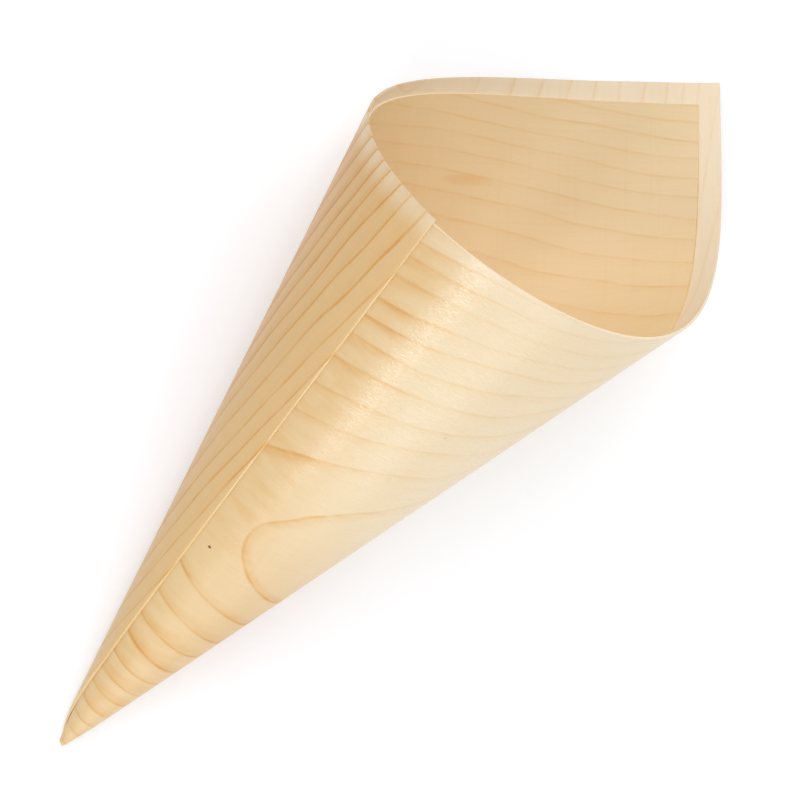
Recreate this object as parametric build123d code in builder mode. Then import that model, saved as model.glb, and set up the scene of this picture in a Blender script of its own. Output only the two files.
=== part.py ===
"""Wooden food cone: one thin sheet of pine veneer, rolled two turns and glued along its seam.

The sheet is a plain rectangle. It is rolled about a point just outside the middle of one long
edge, so that this edge closes the tip and its last half shows as the seam. The other three edges
make the slanting double rim of the mouth, with the two far corners one behind the other at its
peak.

A point of the flat sheet is given by its angle and its distance from the rolling point. Rolling
keeps both: the angle says which straight line of the cone the point comes to lie on, and the
distance says how far along that line. Each turn is the same cone again, slid back along the axis
far enough to make room for the turn inside it.

The cone lies on its side, on the flat spot that its weight keeps in the soft wall. +Z is up, and
+X runs along the floor from the tip to the mouth. The origin is the middle of the base of its
bounding box. Sizes are in millimetres.
"""

import os
from math import atan2, ceil, comb, cos, pi, radians, sin

import numpy as np
from build123d import *

# The flat sheet, as it is cut, with the grain along its length
sheet_length = 250.0
sheet_width = 125.0
veneer_thickness = 0.5

# The rolling point: outside the long edge by this much, and off its middle towards the end
# that goes in first
tip_margin = 2.9
off_middle = 6.1

# The cone: its mean half angle, the share by which it is out of round, and where the longer
# axis of that oval lies, counted from the top line
half_angle = 14.24
out_of_round = 0.022
oval_turn = -62.0

# The flat spot that it rests on: where its middle lies, the share by which it is drawn in there,
# and how far to each side of the middle it reaches
rest_turn = 180.0
flat_depth = 0.0225
flat_reach = 7.0

# The room between one turn and the next
ply_gap = 0.1

# The seam runs to the rolling point this far from the top line
seam_turn = -14.3

# How closely the roll is followed: the steps of the sum over one turn, and the curved faces of
# one turn with the degree of each
azimuth_steps = 1440
faces_per_turn = 6
face_degree = 12

# The edges and corners of the sheet, as distances and angles from the rolling point
near_reach = tip_margin
far_reach = tip_margin + sheet_width
first_reach = sheet_length / 2 - off_middle
last_reach = sheet_length / 2 + off_middle
first_corner = atan2(near_reach, first_reach)
inner_peak = atan2(far_reach, first_reach)
outer_peak = atan2(far_reach, -last_reach)
last_corner = atan2(near_reach, -last_reach)


def from_rest(azimuth):
    """How far an azimuth is from the middle of the flat spot, in flat_reach."""
    return ((azimuth - radians(rest_turn) + pi) % (2 * pi) - pi) / radians(flat_reach)


def opening_angle(azimuth):
    """Angle between the axis and the straight line of the cone at an azimuth."""
    oval = out_of_round * np.cos(2 * (azimuth - radians(oval_turn)))
    drawn_in = flat_depth * np.exp(-from_rest(azimuth) ** 2 / 2)
    return radians(half_angle) * (1 + oval - drawn_in)


def opening_slope(azimuth):
    """How fast the opening angle changes with the azimuth."""
    oval = -2 * out_of_round * np.sin(2 * (azimuth - radians(oval_turn)))
    away = from_rest(azimuth)
    drawn_in = -flat_depth * np.exp(-(away**2) / 2) * away / radians(flat_reach)
    return radians(half_angle) * (oval - drawn_in)


def line_direction(azimuth):
    """Unit vector along the straight line of the cone at an azimuth, with the axis along +Z."""
    angle = opening_angle(azimuth)
    return np.array([np.sin(angle) * np.cos(azimuth), np.sin(angle) * np.sin(azimuth), np.cos(angle)])


def outward(azimuth):
    """Unit normal of the cone along the straight line at an azimuth."""
    angle = opening_angle(azimuth)
    widening = np.array([cos(angle) * cos(azimuth), cos(angle) * sin(azimuth), -sin(angle)])
    turning = np.array([-sin(azimuth), cos(azimuth), 0])
    normal = sin(angle) * widening - opening_slope(azimuth) * turning
    return normal / np.linalg.norm(normal)


# The directions of one turn make a closed curve on the unit sphere. Its length is the angle of
# flat sheet that one turn takes up.
azimuths = np.linspace(0, 2 * pi, azimuth_steps + 1)
arc_pieces = np.linalg.norm(np.diff(line_direction(azimuths), axis=1), axis=0)
arcs = np.concatenate([[0], np.cumsum(arc_pieces)])
turn_angle = arcs[-1]
seam_arc = np.interp(radians(seam_turn) % (2 * pi), azimuths, arcs)
slide_per_turn = (veneer_thickness + ply_gap) / sin(radians(half_angle))


def azimuth_of(sheet_angle):
    """Azimuth that a line of the sheet comes to: half a turn of the sheet ends at the seam."""
    arc = (seam_arc + sheet_angle - pi) % turn_angle
    return float(np.interp(arc, arcs, azimuths))


def reach(edge, sheet_angle):
    """Distance from the rolling point to an edge of the sheet, along a line of the sheet."""
    if edge == "near":
        return near_reach / sin(sheet_angle)
    if edge == "far":
        return far_reach / sin(sheet_angle)
    if edge == "first":
        return first_reach / cos(sheet_angle)
    return -last_reach / cos(sheet_angle)


def rolled_point(edge, sheet_angle, side):
    """Where a point on an edge of the sheet comes to lie: side is 1 outside and -1 inside."""
    azimuth = azimuth_of(sheet_angle)
    slide = slide_per_turn * sheet_angle / turn_angle
    middle = reach(edge, sheet_angle) * line_direction(azimuth) - np.array([0, 0, slide])
    return middle + side * veneer_thickness / 2 * outward(azimuth)


# A Bezier curve of the chosen degree passes through points at these shares of its length, which
# lie closer together towards its ends. Each row gives the shares of its control points there.
stations = (1 - np.cos(np.linspace(0, pi, face_degree + 1))) / 2
control_shares = np.array(
    [
        [comb(face_degree, k) * t**k * (1 - t) ** (face_degree - k) for k in range(face_degree + 1)]
        for t in stations
    ]
)


def rolled_edge(edge, first, last, side):
    """Control points and weights of an edge of the sheet, from one angle of it to another.

    The weight of a point is one over its reach. With that weight, a straight line drawn on a
    face of the cone is as straight as the face allows, so the faces need few triangles.
    """
    weighted = []
    for sheet_angle in first + (last - first) * stations:
        weight = 1 / reach(edge, sheet_angle)
        weighted.append([*(weight * rolled_point(edge, sheet_angle, side)), weight])
    controls = np.linalg.solve(control_shares, np.array(weighted))
    weights = controls[:, 3]
    return [Vector(*control[:3]) / control[3] for control in controls], list(weights)


def straight_lines(one, other):
    """The face that is made of the straight lines from one edge to another."""
    return Face.make_bezier_surface([one[0], other[0]], [one[1], other[1]])


# The straight lines of the cone run from the near edge of the sheet to each of the three edges
# at the mouth in turn. They make the outer and the inner face, and the cut edges close the sheet.
faces = []
for mouth_edge, span_first, span_last in (
    ("first", first_corner, inner_peak),
    ("far", inner_peak, outer_peak),
    ("last", outer_peak, last_corner),
):
    count = ceil((span_last - span_first) / turn_angle * faces_per_turn)
    borders = np.linspace(span_first, span_last, count + 1)
    for first, last in zip(borders, borders[1:]):
        near_inside = rolled_edge("near", first, last, -1)
        near_outside = rolled_edge("near", first, last, 1)
        mouth_inside = rolled_edge(mouth_edge, first, last, -1)
        mouth_outside = rolled_edge(mouth_edge, first, last, 1)
        faces += [
            straight_lines(near_outside, mouth_outside),
            straight_lines(near_inside, mouth_inside),
            straight_lines(near_inside, near_outside),
            straight_lines(mouth_inside, mouth_outside),
        ]

# The floor touches the outer face on both sides of the flat spot's middle line. The line
# between them becomes +X, and up is the way into the cone from there.
rest_azimuth = radians(rest_turn)
floor = Plane(
    origin=(0, 0, 0),
    x_dir=tuple(line_direction(rest_azimuth)),
    z_dir=tuple(-outward(rest_azimuth)),
)
rolled_sheet = floor.to_local_coords(Solid(Shell(faces)))
box = rolled_sheet.bounding_box()
base = Vector(box.center().X, box.center().Y, box.min.Z)

with BuildPart() as veneer_cone:
    add(rolled_sheet.moved(Location(-base)))

veneer_cone.part.label = "veneer_cone"
os.makedirs("parts", exist_ok=True)
export_step(veneer_cone.part, "parts/veneer_cone.step")

print("one turn takes", round(turn_angle * 180 / pi, 2), "degrees of sheet")
print("turns rolled", round((last_corner - first_corner) / turn_angle, 2), "in", len(faces), "faces")
print("volume", round(veneer_cone.part.volume, 1), "sheet", sheet_length * sheet_width * veneer_thickness)
print("size", veneer_cone.part.bounding_box().size)
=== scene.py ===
# %% [markdown]
# # A wooden food cone
#
# The object is one thin rectangle of pine veneer. It is rolled two turns into a cone and glued
# along the edge that ends up on top. It lies on its side on a white table.
#
# Almost all of its look comes from two things: how a flat sheet curls, and the growth lines of
# a pine log that was peeled like an apple. So the script first rolls the sheet by a formula and
# then draws the grain on the flat sheet, before it is rolled.

import bmesh
import bpy
import numpy as np
from mathutils import Euler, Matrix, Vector


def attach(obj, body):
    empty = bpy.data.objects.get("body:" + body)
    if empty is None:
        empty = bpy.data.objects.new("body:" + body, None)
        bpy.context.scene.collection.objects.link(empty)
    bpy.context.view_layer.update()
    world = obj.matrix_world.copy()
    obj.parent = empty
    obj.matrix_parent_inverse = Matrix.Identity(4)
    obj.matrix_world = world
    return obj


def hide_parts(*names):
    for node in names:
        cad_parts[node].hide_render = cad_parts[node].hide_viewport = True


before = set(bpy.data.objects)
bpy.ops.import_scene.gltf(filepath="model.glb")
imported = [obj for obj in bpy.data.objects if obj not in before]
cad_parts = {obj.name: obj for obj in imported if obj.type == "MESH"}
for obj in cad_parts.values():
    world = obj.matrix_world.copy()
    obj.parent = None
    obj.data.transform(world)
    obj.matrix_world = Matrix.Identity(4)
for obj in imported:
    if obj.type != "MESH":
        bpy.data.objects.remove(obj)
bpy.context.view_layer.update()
print("nodes:", sorted(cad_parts))

# %% [markdown]
# ## The sheet and its roll
#
# The whole cone is one sheet, rolled about a point just outside the middle of one long edge. A
# cone could also be spun from a profile, but then it would have no seam and no second turn, and
# its mouth would have to be cut to a drawn curve. Here the flat sheet itself is rolled, so the
# seam, the slanting mouth and the two corners at its peak come out by themselves.
#
# On the flat sheet, x runs along the grain and y across it, from the rolling point. That point
# lies outside the long edge by the tip margin, and off its middle towards the end that goes in
# first. All sizes are in metres.

# %% Sizes of the sheet
MM = 0.001
SHEET_LENGTH = 250 * MM
SHEET_WIDTH = 125 * MM
VENEER = 0.5 * MM
TIP_MARGIN = 2.9 * MM
OFF_MIDDLE = 6.1 * MM

NEAR = TIP_MARGIN
FAR = TIP_MARGIN + SHEET_WIDTH
FIRST = SHEET_LENGTH / 2 - OFF_MIDDLE
LAST = SHEET_LENGTH / 2 + OFF_MIDDLE
print("sheet from x", -LAST, "to", FIRST, "and from y", NEAR, "to", FAR)

# %% [markdown]
# The cone isn't quite round: it is a slightly oval cone, and its wall is drawn in a little where
# it rests on the table. An azimuth is a direction round the axis, counted from the top line.

# %% Sizes of the roll
PLY_GAP = 0.1 * MM
HALF_ANGLE = np.radians(14.24)
OUT_OF_ROUND = 0.022
OVAL_TURN = np.radians(-62.0)
SEAM_TURN = np.radians(-14.3)
REST_TURN = np.radians(180.0)
FLAT_DEPTH = 0.0225
FLAT_REACH = np.radians(7.0)
SMALL_TURN = 1e-4
AZIMUTH_STEPS = 1440


def opening(azimuth):
    """Angle from the axis to the wall: an oval, less a bell-shaped dip where the cone rests."""
    away = ((azimuth - REST_TURN + np.pi) % (2 * np.pi) - np.pi) / FLAT_REACH
    oval = OUT_OF_ROUND * np.cos(2 * (azimuth - OVAL_TURN))
    return HALF_ANGLE * (1 + oval - FLAT_DEPTH * np.exp(-(away**2) / 2))


def line(azimuth):
    """Unit vectors along the wall: the opening angle away from the axis, at that azimuth."""
    angle = opening(azimuth)
    return np.stack(
        [np.sin(angle) * np.cos(azimuth), np.sin(angle) * np.sin(azimuth), np.cos(angle)], axis=-1
    )


def outward(azimuth):
    """Unit normals of the wall: at right angles to the line and to the way the line turns."""
    turning = line(azimuth + SMALL_TURN) - line(azimuth - SMALL_TURN)
    normal = np.cross(turning, line(azimuth))
    return normal / np.linalg.norm(normal, axis=-1, keepdims=True)


# %% One turn, measured along the sheet
azimuths = np.linspace(0, 2 * np.pi, AZIMUTH_STEPS + 1)
pieces = np.linalg.norm(np.diff(line(azimuths), axis=0), axis=1)
arcs = np.concatenate([[0], np.cumsum(pieces)])
TURN = arcs[-1]
SEAM_ARC = np.interp(SEAM_TURN % (2 * np.pi), azimuths, arcs)
SLIDE = (VENEER + PLY_GAP) / np.sin(HALF_ANGLE)
print("one turn takes %.2f degrees of the flat sheet" % np.degrees(TURN))

# %% [markdown]
# ## From flat to rolled
#
# One function takes points of the flat sheet to points in space. The angle of a point, seen from
# the rolling point, says which line of the cone it lies on, and its distance says how far along.
# Each turn slides back along the axis by just enough to leave room for the turn inside it. A
# bend modifier would be quicker to set, but it can't make two turns that narrow to a point.
#
# Three small things keep the roll from looking like a drawing. The edge of the seam is pressed
# down by its glue, with its upper corner a little rounded. The inner turn's edges at the mouth
# spring outwards onto the turn around them. The tip is pinched to a finer point. Each fades
# away from its edge, so it is one more term in the same formula.

# %% Pressed edges and the pinched tip
PRESSED = 0.09 * MM
PRESS_WIDTH = 4.0 * MM
PRESS_START = 15.0 * MM
SEAM_ROUND = 0.16 * MM
SEAM_ROUND_WIDTH = 0.22 * MM
TIP_SQUEEZE = 0.45
TIP_LENGTH = 5.0 * MM


def height(x, y, side):
    """How far a point lies outside the middle of its turn's thickness.

    Half the thickness, less the seam's press and round where x is negative, plus the press at
    the mouth where x is positive. Each is its depth times exp(-distance from the edge / width).
    """
    from_seam = y - NEAR
    from_mouth = np.minimum(FIRST - x, FAR - y)
    seam_press = np.where(x < 0, PRESSED * np.exp(-from_seam / PRESS_WIDTH), 0.0)
    mouth_press = PRESSED * np.exp(-from_mouth / PRESS_WIDTH) * np.clip(x / PRESS_START, 0, 1)
    pressed = side * VENEER / 2 - seam_press + mouth_press
    if side < 0:
        return pressed
    return pressed - np.where(x < 0, SEAM_ROUND * np.exp(-from_seam / SEAM_ROUND_WIDTH), 0.0)


# %% Roll the sheet
def rolled(x, y, side):
    """Points of the sheet's outer face (side 1) or inner face (side -1), in the cone's own axes.

    The azimuth is where the sheet's angle comes to along the turn. The point is its distance
    times the line there, less the slide, plus its height along the normal. At last it is drawn
    towards the axis, by a bell-shaped share of its distance from the rolling point.
    """
    angle = np.arctan2(y, x)
    distance = np.hypot(x, y)[..., None]
    azimuth = np.interp((SEAM_ARC + angle - np.pi) % TURN, arcs, azimuths)
    points = distance * line(azimuth)
    points[..., 2] -= SLIDE * angle / TURN
    points += height(x, y, side)[..., None] * outward(azimuth)
    points[..., :2] *= 1 - TIP_SQUEEZE * np.exp(-((distance / TIP_LENGTH) ** 2))
    return points


# %% [markdown]
# The plane that the cone lies on becomes the table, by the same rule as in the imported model: it
# touches along the line where the wall is drawn in, and X runs along that line.

# %% Axes of the cone as it lies
up = -outward(np.array(REST_TURN))
along = line(np.array(REST_TURN))
LYING = np.array([along, np.cross(up, along), up])
print("the cone's axis rises by %.2f degrees" % np.degrees(np.arcsin(LYING[2, 2])))

# %% [markdown]
# ## The mesh
#
# The veneer is a closed sheet with an outer face, an inner face and a thin cut edge. It could be
# one surface with Solidify, but only the upper corner of the seam is rounded, so the two faces
# differ. Both are worked out by the formula, and a strip of quads along their rims joins them.
#
# The grid has one column for each step of the sheet's angle and one row for each step from the
# near edge to the mouth. The rows grow by a fixed share, because the cone is a hundred times
# finer at its tip than at its mouth.

# %% Columns and rows
COLUMN_STEP = np.radians(0.3)
ROWS = 44
NEVER_ZERO = 1e-9


def columns():
    """Sheet angles from the first corner to the last, with a column at each corner between."""
    corners = [
        np.arctan2(NEAR, FIRST),
        np.arctan2(FAR, FIRST),
        np.arctan2(FAR, -LAST),
        np.arctan2(NEAR, -LAST),
    ]
    spans = [
        np.linspace(a, b, int(np.ceil((b - a) / COLUMN_STEP)) + 1)[:-1]
        for a, b in zip(corners, corners[1:])
    ]
    return np.concatenate(spans + [[corners[-1]]])


def mouth_reach(angle):
    """Distance to the first edge that a line from the rolling point meets: far, first or last."""
    to_far = FAR / np.sin(angle)
    ends = np.where(angle < np.pi / 2, FIRST, LAST)
    return np.minimum(to_far, ends / np.maximum(np.abs(np.cos(angle)), NEVER_ZERO))


angles = columns()
share = np.linspace(0, 1, ROWS + 1)
near_reach = NEAR / np.sin(angles)
reach = near_reach[:, None] * (mouth_reach(angles) / near_reach)[:, None] ** share[None, :]
flat_x = reach * np.cos(angles)[:, None]
flat_y = reach * np.sin(angles)[:, None]
print("grid of", reach.shape, "points a side")


# %% Join the two faces along their rim
def quads(grid):
    """The quads of a grid of vertex numbers, each with its corners in turn."""
    return np.stack([grid[:-1, :-1], grid[1:, :-1], grid[1:, 1:], grid[:-1, 1:]], -1).reshape(-1, 4)


index = np.arange(reach.size).reshape(reach.shape)
rim = np.concatenate([index[:, 0], index[-1, 1:], index[-2::-1, -1], index[0, -2:0:-1]])
rim_next = np.roll(rim, -1)
outer_faces = quads(index)
inner_faces = quads(index + reach.size)[:, ::-1]
rim_faces = np.stack([rim_next, rim, rim + reach.size, rim_next + reach.size], -1)
print("quads outside, inside and on the rim:", len(outer_faces), len(inner_faces), len(rim_faces))

# %% Place the points
outside = rolled(flat_x, flat_y, 1).reshape(-1, 3)
inside = rolled(flat_x, flat_y, -1).reshape(-1, 3)
points = np.concatenate([outside, inside]) @ LYING.T
lowest, highest = points.min(0), points.max(0)
points -= [(lowest[0] + highest[0]) / 2, (lowest[1] + highest[1]) / 2, lowest[2]]
print("rolled sheet, size in mm:", np.round((highest - lowest) / MM, 2))

# %% [markdown]
# The flat position of every point is kept as a UV map, in tenths of a metre, so that the grain
# can be drawn on the flat sheet. Each of the three kinds of face gets a material of its own.

# %% Make the mesh
UV_UNIT = 0.1
OUTER, INNER, RIM = 0, 1, 2
MERGE_DISTANCE = 1e-7
SHARP_FROM = np.radians(40)

faces = np.concatenate([outer_faces, inner_faces, rim_faces])
mesh = bpy.data.meshes.new("veneer_sheet")
mesh.from_pydata(points, [], faces)
flat = np.tile(np.stack([flat_x.ravel(), flat_y.ravel()], -1), (2, 1))
corner_vertices = np.zeros(len(mesh.loops), np.int32)
mesh.loops.foreach_get("vertex_index", corner_vertices)
uv = mesh.uv_layers.new(name="flat_sheet")
uv.data.foreach_set("uv", (flat[corner_vertices] / UV_UNIT).astype(np.float32).ravel())
side_of_face = np.repeat([OUTER, INNER, RIM], [len(outer_faces), len(inner_faces), len(rim_faces)])
mesh.polygons.foreach_set("use_smooth", np.ones(len(faces), bool))
mesh.polygons.foreach_set("material_index", side_of_face.astype(np.int32))

# %% Close the corners and mark the sharp rim
work = bmesh.new()
work.from_mesh(mesh)
bmesh.ops.remove_doubles(work, verts=work.verts, dist=MERGE_DISTANCE)
bmesh.ops.dissolve_degenerate(work, edges=work.edges, dist=MERGE_DISTANCE)
open_edges = [edge for edge in work.edges if not edge.is_manifold]
work.to_mesh(mesh)
work.free()
mesh.set_sharp_from_angle(angle=SHARP_FROM)
cone = bpy.data.objects.new("rolled_veneer", mesh)
bpy.context.scene.collection.objects.link(cone)
print("faces", len(mesh.polygons), "open edges", len(open_edges))

# %% [markdown]
# ## Helpers for nodes
#
# Every pattern on the wood is a sum of a few simple nodes. These helpers add one node each and
# give its output, so a formula reads almost like plain arithmetic.

# %% Sockets and groups
FLOAT, COLOUR = "NodeSocketFloat", "NodeSocketColor"
PLACE = {"Along": FLOAT, "Across": FLOAT}


def link_or_set(tree, socket, value):
    """Link an output to a socket, or set the socket to a plain value."""
    if isinstance(value, bpy.types.NodeSocket):
        tree.links.new(value, socket)
    else:
        socket.default_value = value


def node_group(name, inputs, outputs):
    """A shader node group with named sockets. Gives it, what it is given and what it gives."""
    group = bpy.data.node_groups.new(name, "ShaderNodeTree")
    for label, kind in inputs.items():
        group.interface.new_socket(label, in_out="INPUT", socket_type=kind)
    for label, kind in outputs.items():
        group.interface.new_socket(label, in_out="OUTPUT", socket_type=kind)
    given = group.nodes.new("NodeGroupInput").outputs
    wanted = group.nodes.new("NodeGroupOutput").inputs
    return group, given, wanted


def use_group(tree, group, inputs):
    """A node that places a group, with its inputs linked or set by name. Gives its outputs."""
    node = tree.nodes.new("ShaderNodeGroup")
    node.node_tree = group
    for label, value in inputs.items():
        link_or_set(tree, node.inputs[label], value)
    return node.outputs


# %% Arithmetic, masks and colours
def maths(tree, operation, *values, clamp=False):
    """A Math node. Each value is a number or an output to link from."""
    node = tree.nodes.new("ShaderNodeMath")
    node.operation = operation
    node.use_clamp = clamp
    for socket, value in zip(node.inputs, values):
        link_or_set(tree, socket, value)
    return node.outputs[0]


def rise(tree, value, low, high):
    """0 at the low value, 1 at the high one, and smooth between. It falls if low is above high."""
    node = tree.nodes.new("ShaderNodeMapRange")
    node.interpolation_type = "SMOOTHSTEP"
    tree.links.new(value, node.inputs["Value"])
    node.inputs["From Min"].default_value = low
    node.inputs["From Max"].default_value = high
    return node.outputs["Result"]


def between(tree, mask, low, high):
    """The low value where the mask is 0 and the high one where it is 1."""
    span = high - low if isinstance(low, float) else maths(tree, "SUBTRACT", high, low)
    return maths(tree, "MULTIPLY_ADD", mask, span, low)


def blend(tree, factor, one, other, kind="MIX"):
    """A colour mix: factor 0 gives the first colour, factor 1 the second one."""
    node = tree.nodes.new("ShaderNodeMix")
    node.data_type = "RGBA"
    node.blend_type = kind
    for label, value in (("Factor", factor), ("A", one), ("B", other)):
        link_or_set(tree, node.inputs[label], value)
    return node.outputs["Result"]


# %% Noise and spots on the flat sheet
def noise(tree, x, y, scales, detail=3.0, offset=0.0):
    """Noise with so many features per mm along and across. The offset keeps patterns apart."""
    combine = tree.nodes.new("ShaderNodeCombineXYZ")
    tree.links.new(maths(tree, "MULTIPLY", x, scales[0]), combine.inputs[0])
    tree.links.new(maths(tree, "MULTIPLY", y, scales[1]), combine.inputs[1])
    combine.inputs[2].default_value = offset
    node = tree.nodes.new("ShaderNodeTexNoise")
    node.inputs["Scale"].default_value = 1.0
    node.inputs["Detail"].default_value = detail
    tree.links.new(combine.outputs[0], node.inputs["Vector"])
    return node.outputs["Fac"]


def spot(tree, x, y, centre, radii):
    """A soft oval mask: 1 less the squared distance from its centre, counted in radii."""
    over_x = maths(tree, "DIVIDE", maths(tree, "SUBTRACT", x, centre[0]), radii[0])
    over_y = maths(tree, "DIVIDE", maths(tree, "SUBTRACT", y, centre[1]), radii[1])
    square_x = maths(tree, "MULTIPLY", over_x, over_x)
    squares = maths(tree, "MULTIPLY_ADD", over_y, over_y, square_x)
    return maths(tree, "SUBTRACT", 1.0, squares, clamp=True)


# %% [markdown]
# ## Growth lines of a peeled log
#
# Veneer is peeled off a turning log, so each growth ring is cut at a very flat angle. Along the
# grain the rings show as long lines. Where the knife leaves and enters the same ring again, they
# close in a loop, which joiners call a cathedral.
#
# A wave or wood texture would give lines that are all alike. Here they come from one smooth
# field on the flat sheet: the ring number. It grows with the distance from a heart line, squared
# near that line and plain further out, and a little along the grain. Its whole numbers are the
# late, dark wood of each year. Lengths are in mm from here on.

# %% Sizes of the rings
HEART_LINE = 59.5
# The square and the pitch in the count of rings, above and below that line
ABOVE_HEART = (328.0, 1.42)
BELOW_HEART = (195.0, 1.75)
RINGS_ALONG = 0.0406
RING_SHIFT = 1.25
WANDER = 4.8
WANDER_NOISE = {"scales": (0.02, 0.07), "detail": 2.0}


def ring_count(tree, distance, square, pitch):
    """Rings up to a distance: the distance squared over (square + pitch times distance)."""
    under = maths(tree, "MULTIPLY_ADD", distance, pitch, square)
    return maths(tree, "DIVIDE", maths(tree, "MULTIPLY", distance, distance), under)


def ring_rate(tree, distance, square, pitch):
    """How fast that count grows: distance (2 square + pitch distance) over its bottom squared."""
    under = maths(tree, "MULTIPLY_ADD", distance, pitch, square)
    over = maths(tree, "MULTIPLY", distance, maths(tree, "ADD", under, square))
    return maths(tree, "DIVIDE", over, maths(tree, "MULTIPLY", under, under))


# %% The ring number and its steepness
def growth_ring_group():
    """Gives the ring number at a point of the sheet and its steepness, in rings per mm."""
    group, given, wanted = node_group("growth_rings", PLACE, {"Ring": FLOAT, "Steepness": FLOAT})
    x, y = given["Along"], given["Across"]
    swing = maths(group, "SUBTRACT", noise(group, x, y, **WANDER_NOISE), 0.5)
    off_heart = maths(group, "MULTIPLY_ADD", swing, WANDER, maths(group, "SUBTRACT", y, HEART_LINE))
    distance = maths(group, "ABSOLUTE", off_heart)
    is_above = maths(group, "GREATER_THAN", off_heart, 0.0)
    counted, rate = [
        between(group, is_above, rule(group, distance, *BELOW_HEART), rule(group, distance, *ABOVE_HEART))
        for rule in (ring_count, ring_rate)
    ]
    ring = maths(group, "ADD", maths(group, "MULTIPLY_ADD", x, RINGS_ALONG, counted), RING_SHIFT)
    group.links.new(ring, wanted["Ring"])
    squares = maths(group, "MULTIPLY_ADD", rate, rate, RINGS_ALONG**2)
    group.links.new(maths(group, "SQRT", squares), wanted["Steepness"])
    return group


growth_rings = growth_ring_group()
print("growth_rings has", len(growth_rings.nodes), "nodes")

# %% [markdown]
# ## Colours of the wood
#
# Early wood is cream and late wood is orange tan. Late wood could be one colour that is mixed
# in, but then its lines would be the same on pale and on warm wood. So the late wood, the fibres
# and the knot are tints, which multiply the colour under them as a stain does.

# %% Colours
def srgb(r, g, b):
    """A colour given as 8-bit sRGB, in the linear form that a shader takes."""
    values = np.array([r, g, b]) / 255
    linear = np.where(values <= 0.04045, values / 12.92, ((values + 0.055) / 1.055) ** 2.4)
    return (*linear, 1.0)


EARLY_WOOD = srgb(223, 193, 144)
# Pale wood that also paints the sheen of light on the front, and warm wood that also paints the shade of
# the strip turned from the lamps
PALE_AND_LIT_WOOD = srgb(231, 210, 173)
WARM_AND_SHADED_WOOD = srgb(210, 166, 102)
INNER_WOOD = srgb(236, 208, 162)
MARGIN_WOOD = srgb(233, 215, 186)
# Painted highlight, the pale colour of the seam's lit edge, on the outer face and on the cut
SEAM_HIGHLIGHT = srgb(232, 204, 152)
SPECK = srgb(140, 70, 40)
LATE_TINT = (0.92, 0.72, 0.40, 1.0)
SOFT_TINT = (0.94, 0.82, 0.62, 1.0)
FIBRE_TINT = (0.96, 0.90, 0.78, 1.0)
# Painted shade, a grey tint that darkens the inner wall towards the inner turn's corner at the mouth
INSIDE_SHADE_TINT = (0.90, 0.90, 0.90, 1.0)
# Painted shade, a grey tint that darkens the cut edge at the last edge
CUT_SHADE_TINT = (0.80, 0.78, 0.76, 1.0)

# %% [markdown]
# ## Late wood
#
# The late wood of a year starts softly and ends at once, so each line has a hazy side and a
# crisp edge. The part of a ring could be coloured as it is, but then lines would be very wide
# where the rings are far apart. Divided by the steepness, it is how many mm a point lies past
# its line, and lines are about as wide everywhere. Broad noise makes years stronger and weaker,
# and finer noise breaks the lines up. Where the knife cut the rings at a very flat angle, as in
# the loop, more of the haze shows.

# %% Draw the growth lines on a ground colour
# The sides of a line in mm past it, its reach in line widths, and where it widens in mm across
HAZY_SIDE = (-2.4, -0.1)
CRISP_SIDE = (0.5, 0.1)
LINE_REACH = (0.42, 0.05)
LINE_WIDTHS = (0.7, 1.0)
WIDENING = (20.0, 60.0)
YEAR_NOISE = {"scales": (0.02, 0.06), "offset": 4.0}
YEARS_SHOW, YEAR_STRENGTHS = (0.2, 0.75), (0.6, 1.4)
BREAK_NOISE = {"scales": (0.12, 0.5), "offset": 21.0}
BREAKS_SHOW, BREAK_STRENGTHS = (0.35, 0.65), (0.65, 1.35)
FLAT_CUT = (0.3, 0.1)
HAZE_SHARES = (0.3, 1.15)
# What the late wood takes beside the place: the colour under it, how strong its lines are, how
# much more of their soft side shows, and how strong their fine side is
TONE = {"Ground": COLOUR, "Strength": FLOAT, "Haze": FLOAT, "Crispness": FLOAT}


def late_wood_group(rings):
    """Draws the soft side and then the fine line of each ring on the ground colour."""
    group, given, wanted = node_group("late_wood", {**PLACE, **TONE}, {"Colour": COLOUR})
    x, y = given["Along"], given["Across"]
    ring = use_group(group, rings, {"Along": x, "Across": y})
    part = maths(group, "FRACT", maths(group, "ADD", ring["Ring"], 0.5))
    past = maths(group, "DIVIDE", maths(group, "SUBTRACT", part, 0.5), ring["Steepness"])
    width = between(group, rise(group, y, *WIDENING), *LINE_WIDTHS)
    fine = rise(group, maths(group, "DIVIDE", maths(group, "ABSOLUTE", past), width), *LINE_REACH)
    fine = maths(group, "MULTIPLY", fine, given["Crispness"])
    flat_cut = maths(group, "MAXIMUM", rise(group, ring["Steepness"], *FLAT_CUT), given["Haze"])
    soft = maths(group, "MULTIPLY", rise(group, past, *HAZY_SIDE), rise(group, past, *CRISP_SIDE))
    soft = maths(group, "MULTIPLY", soft, between(group, flat_cut, *HAZE_SHARES))

    strong_years = rise(group, noise(group, x, y, **YEAR_NOISE), *YEARS_SHOW)
    unbroken = rise(group, noise(group, x, y, **BREAK_NOISE), *BREAKS_SHOW)
    strength = given["Strength"]
    for share, strengths in ((strong_years, YEAR_STRENGTHS), (unbroken, BREAK_STRENGTHS)):
        strength = maths(group, "MULTIPLY", strength, between(group, share, *strengths))
    colour = given["Ground"]
    for mask, tint in ((soft, SOFT_TINT), (fine, LATE_TINT)):
        factor = maths(group, "MULTIPLY", mask, strength, clamp=True)
        colour = blend(group, factor, colour, tint, "MULTIPLY")
    group.links.new(colour, wanted["Colour"])
    return group


late_wood = late_wood_group(growth_rings)
print("late_wood has", len(late_wood.nodes), "nodes")

# %% [markdown]
# ## Fibres
#
# Close up, veneer is a bundle of cut tubes, each a tiny groove. To model them would take millions
# of faces, so they are noise that is stretched along the grain. Long streaks and short grains
# shade the wood a little, and so do fine marks across the grain.

# %% Fibres and what they shade
FIBRE_NOISE = {"scales": (0.5, 4.5)}
GLINT_NOISE = {"scales": (0.7, 2.6), "offset": 12.0}
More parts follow.
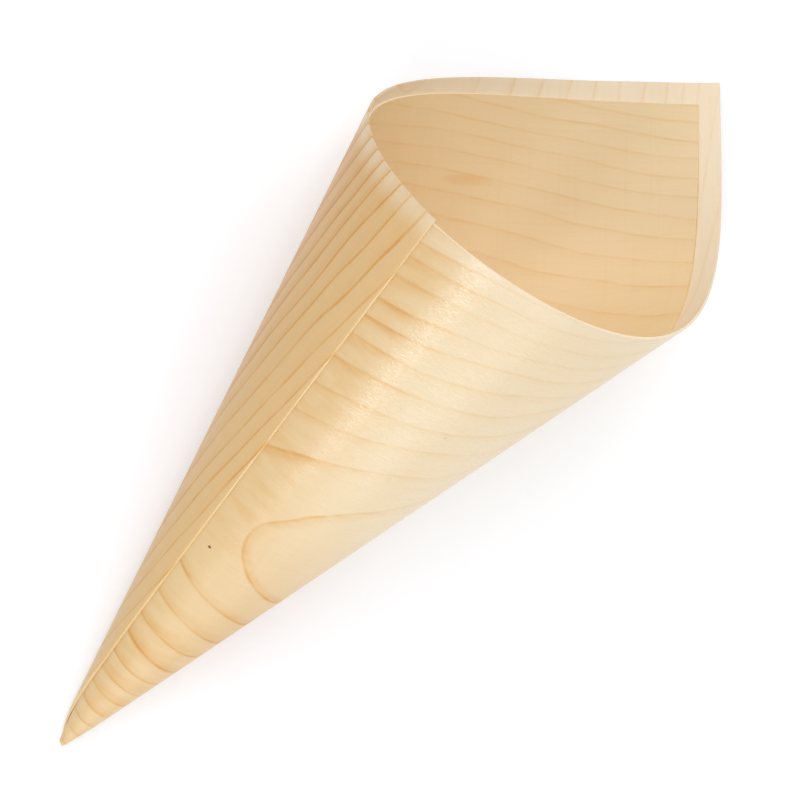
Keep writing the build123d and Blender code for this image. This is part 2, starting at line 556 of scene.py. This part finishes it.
# Each shade is a noise, the two values between which it comes to show, and its depth
STREAKS = ({"scales": (0.05, 1.4), "offset": 7.0}, (0.45, 0.8), 0.35)
SHORT_GRAINS = ({"scales": (0.9, 6.0), "detail": 2.0, "offset": 9.0}, (0.5, 0.8), 0.25)
CROSS_MARKS = ({"scales": (1.1, 0.04), "detail": 2.0, "offset": 2.0}, (0.5, 0.8), 0.25)


def fibre_group():
    """Gives the shade as a mask, and the fibres and the coarser glints as plain noise."""
    outputs = {"Shade": FLOAT, "Fibres": FLOAT, "Glints": FLOAT}
    group, given, wanted = node_group("veneer_fibres", PLACE, outputs)
    x, y = given["Along"], given["Across"]
    shade = 0.0
    for pattern, shows, depth in (STREAKS, SHORT_GRAINS, CROSS_MARKS):
        mask = rise(group, noise(group, x, y, **pattern), *shows)
        shade = maths(group, "MULTIPLY_ADD", mask, depth, shade)
    group.links.new(shade, wanted["Shade"])
    group.links.new(noise(group, x, y, **FIBRE_NOISE), wanted["Fibres"])
    group.links.new(noise(group, x, y, **GLINT_NOISE), wanted["Glints"])
    return group


fibres = fibre_group()
print("veneer_fibres has", len(fibres.nodes), "nodes")

# %% [markdown]
# ## A knot and two specks
#
# The sheet has one small, faint knot, which shows inside the mouth, and two dark specks on its
# front. Noise could scatter such marks, but it can't be told where to put one. So they are soft
# ovals at their places on the flat sheet.

# %% Marks on the sheet
KNOT_PLACE, KNOT_RADII, KNOT_DEPTH = (73.6, 111.2), (6.0, 1.4), 0.5
SPECKS = (((-1.6, 53.4), 0.28), ((-25.5, 95.7), 0.10))
SPECK_STRETCH = 1.5
SPECK_EDGE = (0.0, 0.6)


def mark_group():
    """Draws the knot and the specks on a colour."""
    group, given, wanted = node_group("small_marks", {**PLACE, "Wood": COLOUR}, {"Colour": COLOUR})
    x, y = given["Along"], given["Across"]
    knot = maths(group, "MULTIPLY", spot(group, x, y, KNOT_PLACE, KNOT_RADII), KNOT_DEPTH)
    colour = blend(group, knot, given["Wood"], LATE_TINT, "MULTIPLY")
    for place, radius in SPECKS:
        speck = spot(group, x, y, place, (radius * SPECK_STRETCH, radius))
        colour = blend(group, rise(group, speck, *SPECK_EDGE), colour, SPECK)
    group.links.new(colour, wanted["Colour"])
    return group


marks = mark_group()
print("small_marks has", len(marks.nodes), "nodes")

# %% [markdown]
# ## Tones over the sheet
#
# One sheet isn't one colour. Inside, it is warm and even, paler where the outer turn shows as a
# margin round the mouth, and darker with painted shade towards the inner turn's corner at the
# mouth. Outside, it is pale right of the seam and warm left of it. The pale part is paler wood
# and also a painted sheen of light on the front; the warm strip left of the seam is warmer wood
# and also painted shade, as that side is turned from the lamps. There are hazy patches near the
# seam and the tip, a pale lip along the seam that is a painted highlight on its edge, and a paler
# band at the mouth. All this could be painted on a picture. Masks with soft edges on the flat
# sheet are sharper, and a number moves them. Most pairs below say where such an edge begins and
# ends, in mm along or across.

# %% Tone of the inner face
MARGIN_ALONG = (-30.0, -50.0)
# Where the painted shade on the inner wall begins and where it is full, in mm along and across
INSIDE_SHADE_ALONG, INSIDE_SHADE_ACROSS = (62.0, 100.0), (90.0, 108.0)
LINES_BY_MARGIN = -0.05


def tone_group(name, tone):
    """A group that gives what the late wood takes, by the rule for the tone of one face."""
    group, given, wanted = node_group(name, {**PLACE, "Lines": FLOAT}, TONE)
    for label, value in tone(group, given["Along"], given["Across"], given["Lines"]).items():
        link_or_set(group, wanted[label], value)
    return group


def inner_tone(tree, x, y, lines):
    """Ground colour, with painted shade near the inner turn's mouth corner, and growth lines of the inner
    face.
    """
    margin = rise(tree, x, *MARGIN_ALONG)
    # Painted shade on the inner wall, darker towards the inner turn's corner at the mouth
    inside_shade = maths(tree, "MULTIPLY", rise(tree, x, *INSIDE_SHADE_ALONG), rise(tree, y, *INSIDE_SHADE_ACROSS))
    ground = blend(tree, margin, INNER_WOOD, MARGIN_WOOD)
    ground = blend(tree, inside_shade, ground, INSIDE_SHADE_TINT, "MULTIPLY")
    strength = maths(tree, "MULTIPLY_ADD", margin, LINES_BY_MARGIN, lines)
    return {"Ground": ground, "Strength": strength, "Haze": 0.0, "Crispness": 1.0}


# %% Pale and warm wood of the outer face
# The pale part is paler wood and painted sheen; the warm part is warmer wood and painted shade
PALE_CENTRE, PALE_RADII, PALE_ALONG, PALE_GAIN = (-45.0, 100.0), (75.0, 66.0), (-1.0, -20.0), 1.25
WARM_ALONG, WARM_ACROSS = (-6.0, -30.0), (75.0, 45.0)
WARM_FROM_EDGE, WARM_AT_EDGE = (2.0, 35.0), 0.4


def pale_lit_and_warm_shaded(tree, x, y):
    """Masks of the pale wood and of the warm wood.

    The pale wood also paints the sheen of light on the front, and the warm wood also paints the
    shade of the strip that is turned from the lamps.
    """
    pale_and_lit = maths(tree, "MULTIPLY", spot(tree, x, y, PALE_CENTRE, PALE_RADII), rise(tree, x, *PALE_ALONG))
    pale_and_lit = maths(tree, "MULTIPLY", pale_and_lit, PALE_GAIN, clamp=True)
    warm_and_shaded = maths(tree, "MULTIPLY", rise(tree, x, *WARM_ALONG), rise(tree, y, *WARM_ACROSS))
    from_edge = between(tree, rise(tree, y, *WARM_FROM_EDGE), WARM_AT_EDGE, 1.0)
    return pale_and_lit, maths(tree, "MULTIPLY", warm_and_shaded, from_edge)


# %% Haze, seam and mouth of the outer face
SEAM_ALONG, SEAM_ACROSS = (-13.0, -3.0), (45.0, 65.0)
TIP_ACROSS, TIP_END, TIP_ALONG = (50.0, 32.0), (8.0, 20.0), (-20.0, -8.0)
HAZE_NOISE = {"scales": (0.10, 0.35), "offset": 15.0}
HAZE_SHOWS, HAZE_DEPTH = (0.3, 0.8), 0.75
# The lip is a painted highlight on the edge of the seam
LIP_ACROSS, LIP_ALONG = (3.2, 2.95), (0.0, -2.0)
# A paler band along the edges of the mouth
MOUTH_BAND_ACROSS, MOUTH_BAND_ALONG, MOUTH_BAND_DEPTH = (122.5, 127.5), (-125.5, -130.5), 0.55


def hazed(tree, x, y, by_seam, ground):
    """The ground with tan patches near the seam and near the tip."""
    by_tip = maths(tree, "MULTIPLY", rise(tree, y, *TIP_ACROSS), rise(tree, y, *TIP_END))
    by_tip = maths(tree, "MULTIPLY", by_tip, rise(tree, x, *TIP_ALONG))
    haze = maths(tree, "MULTIPLY", maths(tree, "MAXIMUM", by_seam, by_tip), HAZE_DEPTH)
    patches = rise(tree, noise(tree, x, y, **HAZE_NOISE), *HAZE_SHOWS)
    return blend(tree, maths(tree, "MULTIPLY", haze, patches), ground, SOFT_TINT, "MULTIPLY")


def edged(tree, x, y, ground):
    """The ground with a painted highlight along the seam's edge and a paler band at the mouth."""
    # A painted highlight along the seam's edge
    lip = maths(tree, "MULTIPLY", rise(tree, y, *LIP_ACROSS), rise(tree, x, *LIP_ALONG))
    mouth_band = maths(tree, "MAXIMUM", rise(tree, y, *MOUTH_BAND_ACROSS), rise(tree, x, *MOUTH_BAND_ALONG))
    mouth_band = maths(tree, "MULTIPLY", mouth_band, MOUTH_BAND_DEPTH)
    return blend(tree, mouth_band, blend(tree, lip, ground, SEAM_HIGHLIGHT), MARGIN_WOOD)


# %% Tone of the outer face
LINES_BY_PALE, LINES_BY_WARM = -0.43, 1.6
LINES_FROM_EDGE, LINES_AT_EDGE = (4.0, 24.0), 0.6
HAZY_LINES_ALONG = (-14.0, -2.0)
CRISPNESS = (1.0, 0.55)


def outer_tone(tree, x, y, lines):
    """Ground colour and growth lines of the outer face."""
    pale_and_lit, warm_and_shaded = pale_lit_and_warm_shaded(tree, x, y)
    by_seam = maths(tree, "MULTIPLY", rise(tree, x, *SEAM_ALONG), rise(tree, y, *SEAM_ACROSS))
    ground = blend(tree, pale_and_lit, blend(tree, warm_and_shaded, EARLY_WOOD, WARM_AND_SHADED_WOOD), PALE_AND_LIT_WOOD)
    ground = edged(tree, x, y, hazed(tree, x, y, by_seam, ground))
    strength = maths(tree, "MULTIPLY_ADD", pale_and_lit, LINES_BY_PALE, lines)
    strength = maths(tree, "MULTIPLY_ADD", warm_and_shaded, LINES_BY_WARM, strength)
    from_edge = between(tree, rise(tree, y, *LINES_FROM_EDGE), LINES_AT_EDGE, 1.0)
    return {
        "Ground": ground,
        "Strength": maths(tree, "MULTIPLY", strength, from_edge),
        "Haze": rise(tree, x, *HAZY_LINES_ALONG),
        "Crispness": between(tree, by_seam, *CRISPNESS),
    }


tone_inside = tone_group("tone_inside", inner_tone)
tone_outside = tone_group("tone_outside", outer_tone)
print("tone groups have", len(tone_inside.nodes), "and", len(tone_outside.nodes), "nodes")

# %% [markdown]
# ## The veneer material
#
# The outer face, the inner face and the cut edge are one wood with three finishes. Materials
# that are built one by one would soon differ in their grain, so one function builds all three.
# It lays the colour on in turn: the tone, the late wood, the fibres and the marks. The fibres
# also drive the relief and the roughness, because each one is a groove that catches the light.

# %% Build a veneer material
RELIEF_DEPTH = 0.05 * MM
ROUGHNESS_SWING = 0.15
SPECULAR_LEVEL = 0.6


def sheet_place(tree):
    """The place of a point on the flat sheet: mm along and mm across the grain."""
    uv_node = tree.nodes.new("ShaderNodeUVMap")
    uv_node.uv_map = "flat_sheet"
    split = tree.nodes.new("ShaderNodeSeparateXYZ")
    tree.links.new(uv_node.outputs[0], split.inputs[0])
    return [maths(tree, "MULTIPLY", split.outputs[axis], UV_UNIT / MM) for axis in (0, 1)]


def add_relief(tree, pattern, strength, depth, socket):
    """Bump a normal socket of the shader by a pattern. The depth is in metres."""
    bump = tree.nodes.new("ShaderNodeBump")
    bump.inputs["Strength"].default_value = strength
    bump.inputs["Distance"].default_value = depth
    tree.links.new(pattern, bump.inputs["Height"])
    tree.links.new(bump.outputs[0], socket)


def veneer_material(name, tone, lines, roughness, relief, last_painted_light=None):
    """A finish of the veneer: its tone, the strength of its lines and relief, its roughness."""
    material = bpy.data.materials.new(name)
    material.use_nodes = True
    tree = material.node_tree
    shader = tree.nodes["Principled BSDF"]
    x, y = sheet_place(tree)
    place = {"Along": x, "Across": y}
    toned = use_group(tree, tone, {**place, "Lines": lines})
    wood = use_group(tree, late_wood, {**place, **{label: toned[label] for label in TONE}})["Colour"]
    grooves = use_group(tree, fibres, place)
    wood = blend(tree, grooves["Shade"], wood, FIBRE_TINT, "MULTIPLY")
    wood = use_group(tree, marks, {**place, "Wood": wood})["Colour"]
    # On the cut edge, a last step paints shade and highlights
    if last_painted_light:
        wood = last_painted_light(tree, x, y, wood)
    tree.links.new(wood, shader.inputs["Base Color"])
    pattern = maths(tree, "ADD", grooves["Fibres"], grooves["Glints"])
    add_relief(tree, pattern, relief, RELIEF_DEPTH, shader.inputs["Normal"])
    rough = between(tree, grooves["Fibres"], roughness - ROUGHNESS_SWING, roughness + ROUGHNESS_SWING)
    tree.links.new(rough, shader.inputs["Roughness"])
    shader.inputs["Specular IOR Level"].default_value = SPECULAR_LEVEL
    return material


# %% [markdown]
# The cut edge shows the ends of the fibres. Painted shade makes it greyer at the last edge, and a
# painted highlight makes it pale along the seam and the far edge.

# %% Colours of the cut edge
# Where painted shade darkens the cut at the last edge, and where painted highlights pale it at the seam
# and the far edge
CUT_SHADE_ALONG = (-124.0, -130.0)
SEAM_CUT_HIGHLIGHT_ACROSS = (3.2, 3.0)
FAR_CUT_HIGHLIGHT_ACROSS = (120.0, 124.0)


def cut_shade_and_highlights(tree, x, y, wood):
    """The wood's colour on the cut edge, with painted shade and highlights by which edge it is."""
    wood = blend(tree, rise(tree, x, *CUT_SHADE_ALONG), wood, CUT_SHADE_TINT, "MULTIPLY")
    wood = blend(tree, rise(tree, y, *SEAM_CUT_HIGHLIGHT_ACROSS), wood, SEAM_HIGHLIGHT)
    return blend(tree, rise(tree, y, *FAR_CUT_HIGHLIGHT_ACROSS), wood, MARGIN_WOOD)


# %% [markdown]
# ## Sheen of the front
#
# Where the knife pressed the wood smooth, the front shines in a streak of small flecks. A lower
# roughness would make the whole front shine, so a thin coat lies over the wood instead. Its
# weight follows fine noise, and its own relief breaks the reflection up.

# %% Add the sheen
GLOSS_ACROSS, GLOSS_ALONG, GLOSS_WEIGHTS = (60.0, 100.0), (-48.0, -28.0), (0.12, 0.97)
FLECK_NOISE = {"scales": (0.9, 4.2), "offset": 31.0}
FLECKS_SHOW, FLECK_WEIGHTS = (0.38, 0.66), (0.15, 1.0)
COAT_ROUGHNESS = 0.19
RIPPLE_STRENGTH, RIPPLE_DEPTH = 1.0, 0.13 * MM


def add_sheen(material):
    """Put the coat with its flecks and ripples on a veneer material."""
    tree = material.node_tree
    shader = tree.nodes["Principled BSDF"]
    x, y = sheet_place(tree)
    gloss = between(tree, rise(tree, y, *GLOSS_ACROSS), *GLOSS_WEIGHTS)
    gloss = maths(tree, "MULTIPLY", gloss, rise(tree, x, *GLOSS_ALONG))
    flecks = rise(tree, noise(tree, x, y, **FLECK_NOISE), *FLECKS_SHOW)
    gloss = maths(tree, "MULTIPLY", gloss, between(tree, flecks, *FLECK_WEIGHTS))
    tree.links.new(gloss, shader.inputs["Coat Weight"])
    shader.inputs["Coat Roughness"].default_value = COAT_ROUGHNESS
    glints = use_group(tree, fibres, {"Along": x, "Across": y})["Glints"]
    add_relief(tree, glints, RIPPLE_STRENGTH, RIPPLE_DEPTH, shader.inputs["Coat Normal"])


# %% Dress the cone
outer_face = veneer_material(
    "veneer_outer_face", tone_outside, lines=0.62, roughness=0.40, relief=1.0
)
inner_face = veneer_material(
    "veneer_inner_face", tone_inside, lines=0.22, roughness=0.45, relief=0.4
)
cut_edge = veneer_material(
    "veneer_cut_edge", tone_outside, lines=0.22, roughness=0.55, relief=1.0, last_painted_light=cut_shade_and_highlights
)
add_sheen(outer_face)
for material in (outer_face, inner_face, cut_edge):
    cone.data.materials.append(material)
    print(material.name, "has", len(material.node_tree.nodes), "nodes")

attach(cone, "root")
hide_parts("veneer_cone")

# %% [markdown]
# ## Table, light and camera
#
# The table is a wide white sheet that takes the cone's shadow. Its colour is a little blue, to
# make up for the warm light that the wood throws on it. A faint glow that only the camera and
# reflections see makes it white. The world does the same: it lights the cone at a plain level,
# and looks pure white itself.

# %% What the camera and reflections see
def seen_directly(tree):
    """1 for the rays of the camera, of gloss and of glass, and 0 for the light itself."""
    path = tree.nodes.new("ShaderNodeLightPath")
    seen = maths(tree, "ADD", path.outputs["Is Camera Ray"], path.outputs["Is Glossy Ray"])
    return maths(tree, "ADD", seen, path.outputs["Is Transmission Ray"], clamp=True)


# %% The table
TABLE_HALF = 3.0
TABLE_COLOUR = (0.87, 0.89, 0.94, 1.0)
TABLE_ROUGHNESS = 0.8
TABLE_GLOW = 0.17
WHITE = (1.0, 1.0, 1.0, 1.0)

corners = [(x * TABLE_HALF, y * TABLE_HALF, 0) for x, y in ((-1, -1), (1, -1), (1, 1), (-1, 1))]
table_mesh = bpy.data.meshes.new("table")
table_mesh.from_pydata(corners, [], [(0, 1, 2, 3)])
table = bpy.data.objects.new("table", table_mesh)
bpy.context.scene.collection.objects.link(table)
table_material = bpy.data.materials.new("white_table")
table_material.use_nodes = True
table_tree = table_material.node_tree
table_shader = table_tree.nodes["Principled BSDF"]
table_shader.inputs["Base Color"].default_value = TABLE_COLOUR
table_shader.inputs["Roughness"].default_value = TABLE_ROUGHNESS
table_shader.inputs["Specular IOR Level"].default_value = 0.0
table_shader.inputs["Emission Color"].default_value = WHITE
glow = maths(table_tree, "MULTIPLY", seen_directly(table_tree), TABLE_GLOW)
table_tree.links.new(glow, table_shader.inputs["Emission Strength"])
table_mesh.materials.append(table_material)

# %% The world
WORLD_LIGHT = 0.58

world = bpy.data.worlds.new("studio")
bpy.context.scene.world = world
world.use_nodes = True
world_tree = world.node_tree
background = world_tree.nodes["Background"]
background.inputs["Color"].default_value = WHITE
world_strength = between(world_tree, seen_directly(world_tree), WORLD_LIGHT, 1.0)
world_tree.links.new(world_strength, background.inputs["Strength"])
print("world light", WORLD_LIGHT)

# %% [markdown]
# Three lamps are wide and soft: a low one on the tip's side, and two on the mouth's side. A
# small one, high beyond the tip, makes the streak of sheen, because its reflection is small too.

# %% The lamps
CONE_CENTRE = (0.0, 0.0, 0.02)
LAMP_DISTANCE = 1.0
# Name, azimuth and elevation in degrees, width in metres, and watts
LAMPS = (
    ("low_wide_light", -145, 10, 0.9, 4.4),
    ("back_light", 0, 45, 0.7, 3.3),
    ("back_side_light", 50, 40, 0.7, 2.4),
)
SHEEN_PLACE, SHEEN_AIM = (-0.223, -0.035, 0.289), (0.03, 0.005, 0.05)
SHEEN_WIDTH, SHEEN_WATTS = 0.08, 0.23


def soft_light(name, place, aim, width, watts):
    """A square lamp that faces a point. A wider lamp gives softer shadows."""
    data = bpy.data.lights.new(name, "AREA")
    data.size = width
    data.energy = watts
    lamp = bpy.data.objects.new(name, data)
    lamp.location = place
    lamp.rotation_euler = (Vector(aim) - Vector(place)).to_track_quat("-Z", "Y").to_euler()
    bpy.context.scene.collection.objects.link(lamp)


def around(azimuth, elevation):
    """A place in the room, by its direction from the cone in degrees."""
    turn, lift = np.radians(azimuth), np.radians(elevation)
    direction = (np.cos(lift) * np.cos(turn), np.cos(lift) * np.sin(turn), np.sin(lift))
    return [LAMP_DISTANCE * part for part in direction]


for name, azimuth, elevation, width, watts in LAMPS:
    soft_light(name, around(azimuth, elevation), CONE_CENTRE, width, watts)
soft_light("sheen_light", SHEEN_PLACE, SHEEN_AIM, SHEEN_WIDTH, SHEEN_WATTS)
print("lamps:", len(LAMPS) + 1)

# %% [markdown]
# The camera looks down on the cone, almost straight from above. Its place, turn and lens came
# out of the same fit that gave the sizes of the sheet. The view transform is Standard, which
# shows every colour as it is, without the look of film.

# %% The camera
CAMERA_PLACE = (-79.2265 * MM, 18.5715 * MM, 633.703 * MM)
CAMERA_TURN = np.radians((4.02985, -6.4417, -48.75794))
LENS, SENSOR_WIDTH = 150.48, 36.0

camera_data = bpy.data.cameras.new("camera")
camera_data.lens = LENS
camera_data.sensor_width = SENSOR_WIDTH
camera = bpy.data.objects.new("camera", camera_data)
camera.location = CAMERA_PLACE
camera.rotation_euler = Euler(CAMERA_TURN, "XYZ")
bpy.context.scene.collection.objects.link(camera)
bpy.context.scene.camera = camera
bpy.context.scene.view_settings.view_transform = "Standard"
print("camera at", CAMERA_PLACE)
